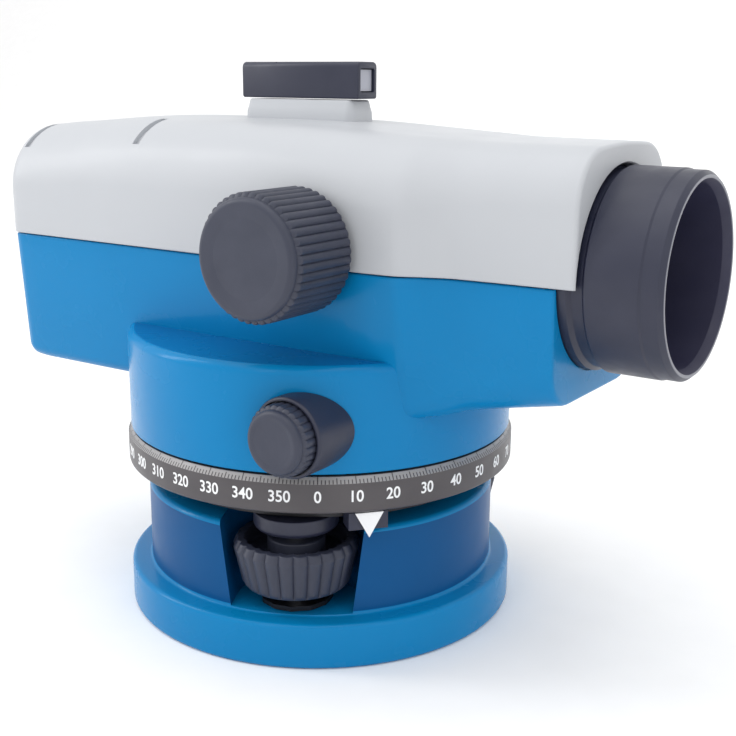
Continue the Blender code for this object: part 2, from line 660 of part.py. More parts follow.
def make_eyepiece():
    centre = (REAR_END, 0, AXIS)
    flange = -GAP
    wide = EYEPIECE_FLANGE_RADIUS
    pipe = EYEPIECE_PIPE_RADIUS
    bore = EYEPIECE_PIPE_BORE
    profile = [(bore, flange - 3), (wide - 0.6, flange - 3), (wide, flange - 2.2), (wide, flange),
               (pipe, flange), (pipe, 27.2), (bore, 27.2)]
    finish("eyepiece_mount", turned(profile, 28, "X", centre), "black_plastic", "alidade")
    finish("reticle_cell", tube(10, 6.6, 23.2, 26.2, 20, "X", centre), "brass", "alidade")
    finish("reticle", rod(6.3, 24.2, 25.2, 16, "X", centre), "glass", "alidade")

    outline = ribbed_outline(EYEPIECE_RING_RADIUS, 0.6, EYEPIECE_RING_RIBS)
    start = flange - 3.4
    end = start - EYEPIECE_RING_LENGTH
    reach = -EYEPIECE_REACH
    ring = lofted([[(REAR_END + x, y, AXIS + z) for y, z in outline] for x in (end, start)])
    cup = turned([(0, reach), (10.6, reach), (11.8, reach + 1), (12.4, end + 0.5),
                  (0, end + 0.5)], 24, "X", centre)
    hollow = turned([(0, reach - 1), (9.2, reach - 1), (7.8, reach + 2.5), (7.8, reach + 5.5),
                     (10.2, reach + 6.4), (10.2, -1.3), (0, -1.3)], 20, "X", centre)
    finish("eyepiece_ring", cut(join(ring, cup), hollow), "black_plastic", "eyepiece_dial")

    finish("eyepiece_cell", tube(9.8, 7.6, -10.5, 7.2, 20, "X", centre), "brass", "eyepiece_cell")
    profile = [(0, -8.4), (7.3, -7.0), (7.3, -4.6), (0, -3.2)]
    finish("eyepiece_lens", turned(profile, 16, "X", centre), "glass", "eyepiece_cell")


# ---------------------------------------------------------------- tangent drive and level

def make_tangent_drive():
    centre = (WORM_X, 0, WORM_Z)
    end = TANGENT_KNOB_BACK + 4
    shaft = WORM_SHAFT_RADIUS
    profile = [(0, -end), (shaft, -end), (shaft, -13), (WORM_RADIUS, -12), (WORM_RADIUS, 12),
               (shaft, 13), (shaft, end), (0, end)]
    finish("worm_shaft", turned(profile, 14, "Y", centre), "steel", "worm")
    for name, side in (("right", -1), ("left", 1)):
        lip = SOCKET_RADIUS - 0.6
        seat = TANGENT_KNOB_BACK - GAP
        socket = turned([(3.3, 25), (SOCKET_RADIUS, 25), (SOCKET_RADIUS, SOCKET_MOUTH - 0.6),
                         (lip, SOCKET_MOUTH), (lip - 0.1, SOCKET_MOUTH), (lip - 0.1, seat),
                         (3.3, seat)], 24, "Y")
        socket = cut(tidy(socket, Matrix.Translation(centre) @ Matrix.Scale(side, 4, (0, 1, 0))),
                     rod(DRUM_RADIUS + GAP, 40, 90, 56))
        finish(f"tangent_socket_{name}", socket, "black_plastic", "alidade")
        knob = ribbed_knob(TANGENT_KNOB_RADIUS, 0.5, TANGENT_KNOB_RIBS, TANGENT_KNOB_BACK,
                           TANGENT_KNOB_FRONT, (WORM_X, WORM_Z), side)
        near, far = sorted(((TANGENT_KNOB_BACK - 1) * side, (end + GAP) * side))
        finish(f"tangent_knob_{name}", cut(knob, rod(shaft + GAP, near, far, 12, "Y", centre)),
               "black_plastic", "worm")

    wheel = extruded(ribbed_outline(WHEEL_RADIUS, 0.9, WHEEL_TEETH), WORM_Z - 2.9, WORM_Z + 2.9)
    wheel = cut(wheel, rod(SLEEVE_RADIUS + GAP, WORM_Z - 4, WORM_Z + 4, 28))
    finish("worm_wheel", wheel, "brass", "wheel")


def make_circular_level():
    centre = (LEVEL_X, LEVEL_Y, 0)
    foot = DRUM_TOP + GAP
    profile = [(0, foot), (LEVEL_RADIUS - 0.6, foot), (LEVEL_RADIUS, 77.4), (LEVEL_RADIUS, 83.0),
               (8.2, 83.6), (7.4, 83.6), (7.4, 79.4), (0, 79.4)]
    finish("level_holder", turned(profile, 22, centre=centre), "black_plastic", "alidade")
    profile = [(0, 79.7), (7.1, 79.7), (7.1, 83.4), (4.0, 84.0), (0, 84.2)]
    finish("level_vial", turned(profile, 20, centre=centre), "glass", "alidade")

    mirror_x = LEVEL_X + 10.5
    bracket = join(block((mirror_x, mirror_x + 3), (LEVEL_Y - 7, LEVEL_Y + 5), (foot, 88)),
                   lofted([[(x, y, z) for x, z in ((mirror_x, 86), (mirror_x + 3, 86),
                                                  (LEVEL_X - 5, 102.5), (LEVEL_X - 6.6, 100.9))]
                           for y in (LEVEL_Y - 7, LEVEL_Y + 5)]))
    finish("mirror_bracket", bracket, "black_plastic", "alidade")
    glass = lofted([[(x, y, z) for x, z in ((mirror_x - 1.6, 86.6), (LEVEL_X - 5.9, 99.4),
                                           (LEVEL_X - 6.6, 98.7), (mirror_x - 2.3, 85.9))]
                    for y in (LEVEL_Y - 6, LEVEL_Y + 4)])
    finish("level_mirror", glass, "glass", "alidade")


clear_scene()
materials = make_materials()
groups = make_groups()
make_base()
make_foot_screws()
make_tribrach()
make_lower_housing()
make_upper_shell()
make_sight()
make_objective()
make_focusing()
make_compensator()
make_eyepiece()
make_tangent_drive()
make_circular_level()
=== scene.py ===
"""Looks of the automatic level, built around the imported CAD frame.

Sizes below are millimetres in the frame's axes (+X objective, -Y focusing knob, +Z up); places
come from the CAD nodes' boxes. MM turns them into the frame's metres.
"""
from math import atan2, cos, hypot, pi, radians, sin, tau

import bmesh
import bpy
from mathutils import Matrix, Vector


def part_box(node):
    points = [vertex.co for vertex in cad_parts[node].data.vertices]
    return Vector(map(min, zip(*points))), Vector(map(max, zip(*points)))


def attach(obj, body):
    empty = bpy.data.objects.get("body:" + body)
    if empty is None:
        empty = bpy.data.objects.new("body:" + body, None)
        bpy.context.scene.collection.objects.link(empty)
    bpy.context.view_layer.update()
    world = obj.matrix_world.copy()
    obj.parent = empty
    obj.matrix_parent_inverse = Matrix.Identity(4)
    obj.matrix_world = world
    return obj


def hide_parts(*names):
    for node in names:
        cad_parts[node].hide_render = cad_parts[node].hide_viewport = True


MM = 0.001
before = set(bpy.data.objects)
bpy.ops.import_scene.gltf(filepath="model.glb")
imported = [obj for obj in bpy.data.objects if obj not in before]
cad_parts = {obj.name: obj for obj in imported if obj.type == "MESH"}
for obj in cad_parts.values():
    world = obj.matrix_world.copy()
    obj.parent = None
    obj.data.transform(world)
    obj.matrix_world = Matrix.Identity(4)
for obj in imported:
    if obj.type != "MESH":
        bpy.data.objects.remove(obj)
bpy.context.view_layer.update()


def box(node):
    """Lowest and highest corner of a CAD node, in millimetres."""
    low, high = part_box(node)
    return Vector(low) / MM, Vector(high) / MM


def centre(node):
    low, high = box(node)
    return (low + high) / 2


# ---------------------------------------------------------------- places and sizes

HOOD_LOW, HOOD_HIGH = box("objective_hood")
AXIS_Z = (HOOD_LOW.z + HOOD_HIGH.z) / 2
HOOD_RADIUS = (HOOD_HIGH.z - HOOD_LOW.z) / 2
HOOD_BORE = 21.2
LIP_BORE = 22.2
LENS_RADIUS = 18.3

DRUM_RADIUS = box("lower_housing")[1].y
DRUM_BOTTOM = box("lower_housing")[0].z
DRUM_HEIGHT = 26.8
DRUM_TOP = DRUM_BOTTOM + DRUM_HEIGHT
DECK = DRUM_TOP + 1.0                          # floor of the hollow inside the hull
PARTING = box("lower_housing")[1].z
WALL = 2.6
REAR = box("lower_housing")[0].x
LOWER_FRONT = box("lower_housing")[1].x
UPPER_FRONT = box("upper_shell")[1].x
FRONT_WALL = 74.5                              # where the hollow ends behind the objective
SHOULDER = 18.0                                # round shoulder of the shell, and its centre
SHOULDER_Y = 16.0
GROOVES = ((-83.5, 130.5), (-39.5, 132.9))     # x and the shell's top there
GROOVE_WIDTH = 2.4
GROOVE_DEPTH = 1.2
PIPE_RADIUS = 12.0                             # eyepiece pipe in the housing's rear wall
PIPE_BORE = 10.3
FLANGE_RADIUS = 16.6
EYEPIECE_RADIUS = 13.6
SIGHT_LOW, SIGHT_HIGH = box("sight_body")

RING_LOW, RING_HIGH = box("graduated_circle")
RING_RADIUS = RING_HIGH.x
RING_BORE = 37.4
RIM_BEVEL = 1.5
ZERO_ANGLE = -54.3                             # where the circle's zero stands
MARK_HALF_WIDTH = 0.13
FIGURE_SIZE = 4.1

BASE_HIGH = box("base_plate")[1]
BASE_RADIUS = BASE_HIGH.x
BASE_BORE = 20.0
WALL_RADIUS = 48.8
LEDGE = 12.0                                   # top of the base flange
THREAD_BUSH_HOLE = 13.3
POCKET_RADIUS = 15.8
POCKET_TOP_RADIUS = 18.8
FEET = [centre(f"foot_screw_{number}_spindle") for number in (1, 2, 3)]
FOOT_KNOB_RADIUS = 16.3
FOOT_KNOB_HEEL = 14.2                          # radius at the knob's lower edge
FOOT_KNOB_RIBS = 26
COLLAR_RADIUS = 11.0

FOCUS = centre("focus_knob")
FOCUS_RADIUS = 15.2
FOCUS_BACK = -box("focus_knob")[1].y
FOCUS_FRONT = -box("focus_knob")[0].y
WORM = centre("worm_shaft")
TANGENT_RADIUS = 8.8
LEVEL = centre("level_vial")
LEVEL_RADIUS = 9.2


# ---------------------------------------------------------------- materials

def node_material(name):
    material = bpy.data.materials.new(name)
    material.use_nodes = True
    tree = material.node_tree
    shader = tree.nodes["Principled BSDF"]
    return material, tree, shader


def noise(tree, scale, detail=3.0, roughness=0.5, stretch=(1, 1, 1)):
    """Object-space noise whose scale counts features per metre."""
    coordinates = tree.nodes.new("ShaderNodeTexCoord")
    mapping = tree.nodes.new("ShaderNodeMapping")
    mapping.inputs["Scale"].default_value = stretch
    texture = tree.nodes.new("ShaderNodeTexNoise")
    texture.inputs["Scale"].default_value = scale
    texture.inputs["Detail"].default_value = detail
    texture.inputs["Roughness"].default_value = roughness
    tree.links.new(coordinates.outputs["Object"], mapping.inputs["Vector"])
    tree.links.new(mapping.outputs["Vector"], texture.inputs["Vector"])
    return texture.outputs["Fac"]


def spread(tree, factor, low, high):
    """Map a factor onto low..high."""
    node = tree.nodes.new("ShaderNodeMapRange")
    node.inputs["From Min"].default_value = 0.3
    node.inputs["From Max"].default_value = 0.7
    node.inputs["To Min"].default_value = low
    node.inputs["To Max"].default_value = high
    tree.links.new(factor, node.inputs["Value"])
    return node.outputs["Result"]


def blend_colours(tree, factor, first, second):
    node = tree.nodes.new("ShaderNodeMix")
    node.data_type = "RGBA"
    node.inputs["A"].default_value = (*first, 1)
    node.inputs["B"].default_value = (*second, 1)
    tree.links.new(factor, node.inputs["Factor"])
    return node.outputs["Result"]


def bump(tree, shader, height, strength, distance):
    node = tree.nodes.new("ShaderNodeBump")
    node.inputs["Strength"].default_value = strength
    node.inputs["Distance"].default_value = distance
    tree.links.new(height, node.inputs["Height"])
    tree.links.new(node.outputs["Normal"], shader.inputs["Normal"])


def surface(name, colour, shade, rough, grain, strength, metallic=0.0, coat=0.0, mottle=60,
            specular=0.5, depth=0.00005):
    """Solid material: two close tones, uneven roughness and a fine surface grain."""
    material, tree, shader = node_material(name)
    tone = spread(tree, noise(tree, mottle, 4.0), 0.0, 1.0)
    tree.links.new(blend_colours(tree, tone, colour, shade), shader.inputs["Base Color"])
    sheen = spread(tree, noise(tree, mottle * 2.7, 3.0), rough * 0.88, rough * 1.12)
    tree.links.new(sheen, shader.inputs["Roughness"])
    shader.inputs["Metallic"].default_value = metallic
    shader.inputs["Specular IOR Level"].default_value = specular
    shader.inputs["Coat Weight"].default_value = coat
    shader.inputs["Coat Roughness"].default_value = 0.09
    bump(tree, shader, noise(tree, grain, 2.0), strength, depth)
    return material


def turned_metal(name, colour, shade, rough, axis_stretch):
    """Metal with fine turning lines around its axis."""
    material, tree, shader = node_material(name)
    lines = noise(tree, 900, 2.0, 0.5, axis_stretch)
    tone = spread(tree, noise(tree, 80, 3.0), 0.0, 1.0)
    tree.links.new(blend_colours(tree, tone, colour, shade), shader.inputs["Base Color"])
    tree.links.new(spread(tree, lines, rough * 0.75, rough * 1.3), shader.inputs["Roughness"])
    shader.inputs["Metallic"].default_value = 1.0
    bump(tree, shader, lines, 0.15, 0.00002)
    return material


def clear_glass(name, tint, rough=0.02):
    material, tree, shader = node_material(name)
    tone = spread(tree, noise(tree, 30, 2.0), 0.0, 1.0)
    pale = tuple(min(1.0, part * 1.05) for part in tint)
    tree.links.new(blend_colours(tree, tone, tint, pale), shader.inputs["Base Color"])
    smudge = spread(tree, noise(tree, 120, 3.0), rough, rough * 3)
    tree.links.new(smudge, shader.inputs["Roughness"])
    shader.inputs["Transmission Weight"].default_value = 0.92
    shader.inputs["IOR"].default_value = 1.52
    shader.inputs["Coat Weight"].default_value = 0.3
    return material


BLUE = surface("blue_gloss_paint", (0.0015, 0.186, 0.435), (0.002, 0.199, 0.46), 0.26, 900, 0.025,
               coat=0.10, mottle=25, specular=0.12)
# Darker blue for the drum's flat top ledge: painted shade, the same paint as the rest of the
# housing.
BLUE_PAINTED_SHADE_LEDGE = surface("blue_ledge_painted_shade", (0.0015, 0.125, 0.34), (0.002, 0.135, 0.36), 0.28, 900,
                     0.02, coat=0.10, mottle=25, specular=0.12)
# Darker blue for the base's upright walls under the circle: painted shade from the circle's
# overhang, the same paint as the flange.
BLUE_PAINTED_SHADE_WALL = surface("blue_wall_painted_shade", (0.001, 0.070, 0.215), (0.0015, 0.078, 0.235), 0.36, 900,
                    0.08, coat=0.05, mottle=35, specular=0.12)
WHITE = surface("white_satin_paint", (0.470, 0.487, 0.515), (0.485, 0.502, 0.530), 0.42, 2200, 0.16,
                coat=0.05, mottle=30, specular=0.32)
DARK = surface("dark_grey_plastic", (0.015, 0.018, 0.040), (0.021, 0.024, 0.048), 0.42, 2600, 0.25,
               mottle=90)
GRIP = surface("grip_plastic", (0.024, 0.029, 0.052), (0.032, 0.037, 0.062), 0.48, 3200, 0.35,
               mottle=120)
# Light grey on the hood's front rim: a painted highlight on the dark hood.
HOOD_LIP_PAINTED_HIGHLIGHT = surface("hood_lip_painted_highlight", (0.16, 0.165, 0.20), (0.20, 0.205, 0.24), 0.35, 2600, 0.15)
CIRCLE = surface("circle_plastic", (0.060, 0.054, 0.060), (0.074, 0.067, 0.072), 0.40, 2600, 0.2,
                 mottle=90)
CIRCLE_RIM = surface("circle_rim", (0.29, 0.285, 0.285), (0.34, 0.33, 0.33), 0.4, 2600, 0.15)
INK = surface("white_ink", (0.80, 0.81, 0.83), (0.86, 0.87, 0.88), 0.5, 3000, 0.2)
BLACK_ANODISED = surface("black_anodised", (0.018, 0.018, 0.022), (0.026, 0.026, 0.030), 0.38,
                         3000, 0.15, metallic=0.6)
HOOD_INSIDE = surface("hood_inside", (0.021, 0.021, 0.052), (0.027, 0.027, 0.063), 0.55, 2600, 0.2)
CAST = surface("bare_casting", (0.36, 0.37, 0.39), (0.44, 0.45, 0.47), 0.5, 1800, 0.5,
               metallic=1.0)
STEEL = turned_metal("turned_steel", (0.52, 0.53, 0.55), (0.60, 0.61, 0.63), 0.28, (0.2, 0.2, 6))
STEEL_Y = turned_metal("turned_steel_across", (0.52, 0.53, 0.55), (0.60, 0.61, 0.63), 0.28,
                       (0.2, 6, 0.2))
BRASS = turned_metal("turned_brass", (0.60, 0.40, 0.15), (0.68, 0.47, 0.19), 0.3, (0.2, 0.2, 6))
BRASS_X = turned_metal("turned_brass_lengthwise", (0.60, 0.40, 0.15), (0.68, 0.47, 0.19), 0.3,
                       (6, 0.2, 0.2))
GLASS = clear_glass("clear_glass", (0.86, 0.92, 0.95))
COATED = clear_glass("coated_glass", (0.42, 0.40, 0.72))
BUBBLE_FLUID = clear_glass("level_fluid", (0.55, 0.80, 0.25))
BUBBLE = surface("level_bubble", (0.62, 0.80, 0.38), (0.70, 0.86, 0.46), 0.08, 400, 0.01)
FROSTED = surface("frosted_window", (0.36, 0.37, 0.43), (0.40, 0.41, 0.47), 0.3, 1500, 0.1)
MIRROR = surface("silvered_mirror", (0.80, 0.82, 0.83), (0.84, 0.86, 0.87), 0.04, 500, 0.01,
                 metallic=1.0)


# ---------------------------------------------------------------- mesh helpers

def arc_corners(points):
    """Round the corners of a closed outline; each point is (a, b) or (a, b, radius)."""
    smooth = []
    count = len(points)
    for index, point in enumerate(points):
        here = Vector(point[:2])
        radius = point[2] if len(point) > 2 else 0
        if not radius:
            smooth.append(tuple(here))
            continue
        back = Vector(points[index - 1][:2]) - here
        ahead = Vector(points[(index + 1) % count][:2]) - here
        angle = back.angle(ahead)
        reach = radius / abs(1e-9 + sin(angle / 2) / cos(angle / 2))
        middle = here + (back.normalized() + ahead.normalized()).normalized() * (
            radius / sin(angle / 2))
        first = here + back.normalized() * reach
        last = here + ahead.normalized() * reach
        begin = atan2(first.y - middle.y, first.x - middle.x)
        sweep = atan2(last.y - middle.y, last.x - middle.x) - begin
        sweep = (sweep + pi) % tau - pi
        steps = 7 if radius > 0.6 else 4
        for step in range(steps + 1):
            turn = begin + sweep * step / steps
            smooth.append((middle.x + radius * cos(turn), middle.y + radius * sin(turn)))
    return smooth


def outward(shape):
    bmesh.ops.recalc_face_normals(shape, faces=shape.faces)
    return shape


AXIS_TURNS = {"X": Matrix.Rotation(pi / 2, 4, "Y"), "Y": Matrix.Rotation(-pi / 2, 4, "X"),
              "-Y": Matrix.Rotation(pi / 2, 4, "X"), "Z": Matrix.Identity(4)}


def spun(profile, segments, axis, place, size):
    """Skin rings around an axis; size(angle, radius, height) gives each corner's radius.

    The last ring joins the first, unless the outline starts and ends on the axis.
    """
    shape = bmesh.new()
    rings = []
    for radius, height in profile:
        if radius < 1e-6:
            rings.append([shape.verts.new((0, 0, height))])
            continue
        ring = []
        for step in range(segments):
            angle = tau * step / segments
            reach = size(angle, radius, height)
            ring.append(shape.verts.new((reach * cos(angle), reach * sin(angle), height)))
        rings.append(ring)
    for ring, following in zip(rings, rings[1:] + rings[:1]):
        for step in range(segments):
            after = (step + 1) % segments
            corners = [ring[step % len(ring)], ring[after % len(ring)],
                       following[after % len(following)], following[step % len(following)]]
            corners = list(dict.fromkeys(corners))
            if len(corners) > 2:
                shape.faces.new(corners)
    matrix = Matrix.Translation(place) @ AXIS_TURNS[axis]
    bmesh.ops.transform(shape, matrix=matrix, verts=shape.verts)
    return outward(shape)


def turned(profile, segments=128, axis="Z", place=(0, 0, 0), wave=None):
    """Turn a closed (radius, height) outline; wave(angle, radius) may reshape each radius."""
    def size(angle, radius, height):
        return wave(angle, radius) if wave else radius
    return spun(arc_corners(profile), segments, axis, place, size)


def lofted(sections):
    shape = bmesh.new()
    rows = [[shape.verts.new(point) for point in section] for section in sections]
    for row, following in zip(rows, rows[1:]):
        for step in range(len(row)):
            after = (step + 1) % len(row)
            shape.faces.new((row[step], row[after], following[after], following[step]))
    shape.faces.new(rows[0])
    shape.faces.new(rows[-1])
    return outward(shape)


def slab(x_range, y_range, z_range):
    order = ((0, 0), (1, 0), (1, 1), (0, 1))
    return lofted([[(x, y_range[i], z_range[j]) for i, j in order] for x in x_range])


def extruded(outline, levels):
    """Raise an (x, y) outline through (height, inset) levels."""
    sections = []
    count = len(outline)
    for height, inset in levels:
        section = []
        for index in range(count):
            here = Vector(outline[index])
            along = (Vector(outline[(index + 1) % count]) - Vector(outline[index - 1])).normalized()
            moved = here + Vector((-along.y, along.x)) * inset
            section.append((moved.x, moved.y, height))
        sections.append(section)
    return lofted(sections)


def combine(shape, tool, operation):
    inputs = []
    for part in (shape, tool):
        mesh = bpy.data.meshes.new("boolean_input")
        part.to_mesh(mesh)
        part.free()
        inputs.append(bpy.data.objects.new("boolean_input", mesh))
        bpy.context.scene.collection.objects.link(inputs[-1])
    modifier = inputs[0].modifiers.new("boolean", "BOOLEAN")
    modifier.object = inputs[1]
    modifier.operation = operation
    modifier.solver = "EXACT"
    depsgraph = bpy.context.evaluated_depsgraph_get()
    result = bmesh.new()
    result.from_mesh(inputs[0].evaluated_get(depsgraph).to_mesh())
    for obj in inputs:
        bpy.data.meshes.remove(obj.data)
    return result


def cut(shape, *tools):
    for tool in tools:
        shape = combine(shape, tool, "DIFFERENCE")
    return shape


def join(shape, *others):
    for other in others:
        shape = combine(shape, other, "UNION")
    return shape


def piece(name, shape, material, body, replaces=(), sharp=32, bevel=0.0):
    """Make a piece from a shape in millimetres and tie it to its CAD body."""
    bmesh.ops.scale(shape, vec=(MM, MM, MM), verts=shape.verts)
    mesh = bpy.data.meshes.new(name)
    shape.to_mesh(mesh)
    shape.free()
    materials = material if isinstance(material, (list, tuple)) else [material]
    for item in materials:
        mesh.materials.append(item)
    obj = bpy.data.objects.new(name, mesh)
    bpy.context.scene.collection.objects.link(obj)
    if bevel:
        modifier = obj.modifiers.new("edges", "BEVEL")
        modifier.width = bevel * MM
        modifier.segments = 3
        modifier.limit_method = "ANGLE"
        modifier.angle_limit = radians(38)
        modifier.harden_normals = True
        modifier.miter_outer = "MITER_ARC"
    mesh.shade_smooth()
    mesh.set_sharp_from_angle(angle=radians(sharp))
    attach(obj, body)
    if replaces:
        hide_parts(*replaces)
    return obj


def dress(material, *nodes):
    """Give CAD nodes that stay in view their material."""
    for node in nodes:
        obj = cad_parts[node]
        for slot in obj.material_slots:
            slot.material = material
        obj.data.shade_smooth()
        obj.data.set_sharp_from_angle(angle=radians(32))


# ---------------------------------------------------------------- housing

def between(stations, x):
    """Smooth interpolation of station values along X, without overshoot."""
    for low, high in zip(stations, stations[1:]):
        if x <= high[0]:
            break
    span = high[0] - low[0]
    share = min(1.0, max(0.0, (x - low[0]) / span))
    index = stations.index(low)
    before = stations[max(0, index - 1)]
    after = stations[min(len(stations) - 1, index + 2)]
    values = []
    for part in range(1, len(low)):
        def slope(first, middle, last):
            rise_a = (middle[part] - first[part]) / max(1e-9, middle[0] - first[0])
            rise_b = (last[part] - middle[part]) / max(1e-9, last[0] - middle[0])
            if rise_a * rise_b <= 0:
                return 0.0
            return 2 * rise_a * rise_b / (rise_a + rise_b)
        start = slope(before, low, high) if before is not low else (high[part] - low[part]) / span
        end = slope(low, high, after) if after is not high else (high[part] - low[part]) / span
        a, b = share * share * (3 - 2 * share), share
        value = low[part] * (1 - a) + high[part] * a
        value += span * (start * (b - 2 * b * b + b ** 3) + end * (b ** 3 - b * b))
        values.append(value)
    return values


def rounded_trough(x, half_top, half_bottom, top, bottom, corner=3.5, lip=0.5):
    """Section of the lower housing: open side up, small round at the parting line."""
    outline = [(half_top, top, lip), (half_bottom, bottom, corner),
               (-half_bottom, bottom, corner), (-half_top, top, lip)]
    return [(x, y, z) for y, z in arc_corners(outline)]


def arch(x, half, top, shoulder, bottom, lip=0.5):
    """Section of the upper shell: round shoulders and a slightly crowned top."""
    crown = 0.5
    outline = [(half, bottom, lip), (half, top - shoulder)]
    steps = 12
    for step in range(1, steps + 1):
        turn = pi / 2 * step / steps
        outline.append((half - shoulder * (1 - cos(turn)),
                        top - crown - shoulder * (1 - sin(turn))))
    inner = half - shoulder
    for share in (0.66, 0.33, 0.0):
        outline.append((inner * share, top - crown * share * share))
    left = [(-point[0],) + tuple(point[1:]) for point in reversed(outline[:-1])]
    return [(x, y, z) for y, z in arc_corners(outline + left)]


HULL = (                                           # x, half top, half bottom, bottom, corner
    (REAR, 31.2, 28.8, 64.4, 3.5), (REAR + 1.2, 32.6, 30.2, 62.9, 3.5),
    (REAR + 3.6, 33.2, 30.9, 62.2, 3.5), (REAR + 9, 33.3, 31.1, 62.0, 3.5),
    (34.5, 33.3, 28.0, 62.0, 3.5), (44.0, 33.0, 27.4, 62.8, 4.3), (46.0, 32.6, 27.0, 63.1, 4.6),
    (47.4, 31.7, 26.6, 63.4, 4.9), (51.5, 29.2, 25.8, 64.2, 6.0), (58.5, 27.0, 24.8, 66.2, 7.5),
    (LOWER_FRONT, 25.2, 24.2, 70.8, 10.0),
)
SHELL = (                                          # x, half width, top, shoulder radius
    (REAR, 31.8, 128.6, 16.2), (REAR + 1.2, 33.2, 130.0, 17.2), (REAR + 3.6, 33.9, 130.7, 17.7),
    (REAR + 9, 34.0, 131.1, 17.8), (-42.5, 34.0, 133.4, 18.0), (2.5, 34.0, 133.4, 18.0),
    (32.5, 33.9, 132.0, 18.0), (44.5, 33.2, 131.3, 17.5), (51.5, 30.2, 131.0, 16.0),
    (58.5, 27.8, 130.7, 14.5), (UPPER_FRONT, 25.6, 130.5, 13.0),
)


def stations_along(table, extra):
    """X places for a loft: close together where the shape turns."""
    places = set(extra)
    for low, high in zip(table, table[1:]):
        steps = 6 if high[0] - low[0] < 30 else 4
        places.update(low[0] + (high[0] - low[0]) * step / steps for step in range(steps + 1))
    return sorted(places)


def round_end(x, end, radius):
    """How far a section shrinks near a rounded end face."""
    gap = abs(end - x)
    if gap >= radius:
        return 0.0
    return radius - (radius ** 2 - (radius - gap) ** 2) ** 0.5


def end_places(end, radius, inward):
    return [end + inward * radius * (1 - cos(pi / 2 * step / 4)) for step in range(5)]


def telescope_cutters():
    """Openings for the objective, the eyepiece and the focusing knob's bush; only the objective's
    mouth lightly chamfered.
    """
    seat = HOOD_RADIUS + 0.35
    bore = HOOD_BORE
    back = HOOD_LOW.x - 0.3
    start, end = 67, 95                        # well behind and before the wall
    profile = [(0, start), (bore, start), (bore, back), (seat, back), (seat, UPPER_FRONT - 0.4),
               (seat + 0.6, UPPER_FRONT + 0.3), (seat + 0.6, end), (0, end)]
    front = turned(profile, 96, "X", (0, 0, AXIS_Z))
    hole = PIPE_RADIUS + 0.4
    rear = turned([(0, REAR - 7), (hole, REAR - 7), (hole, REAR + 9), (0, REAR + 9)], 64, "X",
                  (0, 0, AXIS_Z))
    bush = turned([(0, 25), (9.3, 25), (9.3, 40), (0, 40)], 64, "-Y", (FOCUS.x, 0, FOCUS.z))
    return front, rear, bush


def make_lower_housing():
    round_front = 0.8
    places = stations_along(HULL, end_places(LOWER_FRONT, round_front, -1)
                            + end_places(REAR, 1.2, 1))
    sections = []
    for x in places:
        top, bottom, low, corner = between(HULL, x)
        pull = round_end(x, LOWER_FRONT, round_front) + round_end(x, REAR, 1.2)
        sections.append(rounded_trough(x, top - pull, bottom - pull, PARTING, low + pull, corner))
    hull = lofted(sections)
    rim = [(0, DRUM_BOTTOM), (DRUM_RADIUS, DRUM_BOTTOM, 0.4), (DRUM_RADIUS, DRUM_TOP, 2.4),
           (0, DRUM_TOP)]
    housing = join(turned(rim, 192), hull)
    hollow = [rounded_trough(x, top, bottom, PARTING + 2, DECK, 2.0, 0) for x, top, bottom in (
        (REAR + WALL, 27.5, 25.5), (REAR + 6.7, 30.2, 28.0), (44.5, 30.2, 26.4),
        (58.5, 24.4, 21.4), (FRONT_WALL, 23.0, 20.2))]
    inside = turned([(0, DRUM_BOTTOM - 1), (DRUM_RADIUS - 3, DRUM_BOTTOM - 1),
                     (DRUM_RADIUS - 3, DRUM_TOP - WALL), (0, DRUM_TOP - WALL)], 96)
    pit = slab((REAR + 4.7, -56.5), (-24, 24), (66.6, DECK + 2))
    housing = cut(housing, lofted(hollow), inside, pit, *telescope_cutters())
    for side in ("Y", "-Y"):
        hole = turned([(0, 30), (3.3, 30), (3.3, 60), (0, 60)], 32, side, (WORM.x, 0, WORM.z))
        housing = cut(housing, hole)
    # The drum's flat top takes the darker blue: painted shade.
    for face in housing.faces:
        level = face.normal.z > 0.98 and abs(face.calc_center_median().z - DRUM_TOP) < 0.05
        face.material_index = 1 if level else 0
    piece("lower_housing_casting", housing, [BLUE, BLUE_PAINTED_SHADE_LEDGE], "alidade",
          ["lower_housing"], 30)


def make_upper_shell():
    foot = PARTING + 0.3
    round_front = 1.0
    places = stations_along(SHELL, end_places(UPPER_FRONT, round_front, -1)
                            + end_places(REAR, 1.6, 1))
    sections = []
    for x in places:
        half, top, shoulder = between(SHELL, x)
        pull = round_end(x, UPPER_FRONT, round_front) + round_end(x, REAR, 1.6)
        sections.append(arch(x, half - pull, top - pull, shoulder - pull * 0.5, foot))
    shell = lofted(sections)
    corners = [(SIGHT_LOW.x + 1.6, -5.4, 2.2), (SIGHT_HIGH.x - 1.4, -5.4, 2.2),
               (SIGHT_HIGH.x - 1.4, 5.4, 2.2), (SIGHT_LOW.x + 1.6, 5.4, 2.2)]
    outline = arc_corners(corners)
    top = SIGHT_LOW.z - 0.3
    levels = [(top - 12, -0.6), (top - 3.2, -0.2), (top - 2.0, 0.2), (top - 0.4, 0.6), (top, 1.0)]
    shell = join(shell, extruded(outline, levels))
    hollow = [arch(x, half, top, shoulder, foot - 2, 0) for x, half, top, shoulder in (
        (REAR + WALL, 27.5, 124.8, 12.0), (REAR + 7.2, 31.0, 128.2, 14.8),
        (-42.5, 31.4, 130.8, 15.4), (2.5, 31.4, 130.8, 15.4), (32.5, 31.2, 129.4, 15.4),
        (43.5, 30.4, 128.8, 14.8), (58.5, 25.2, 128.1, 12.0), (FRONT_WALL, 24.2, 128.0, 11.0))]
    shell = cut(shell, lofted(hollow), *telescope_cutters())
    for x, top in GROOVES:
        for side in (-1, 1):
            shell = cut(shell, shoulder_groove(x, top, side))
    piece("upper_shell_cover", shell, WHITE, "alidade", ["upper_shell"], 30)


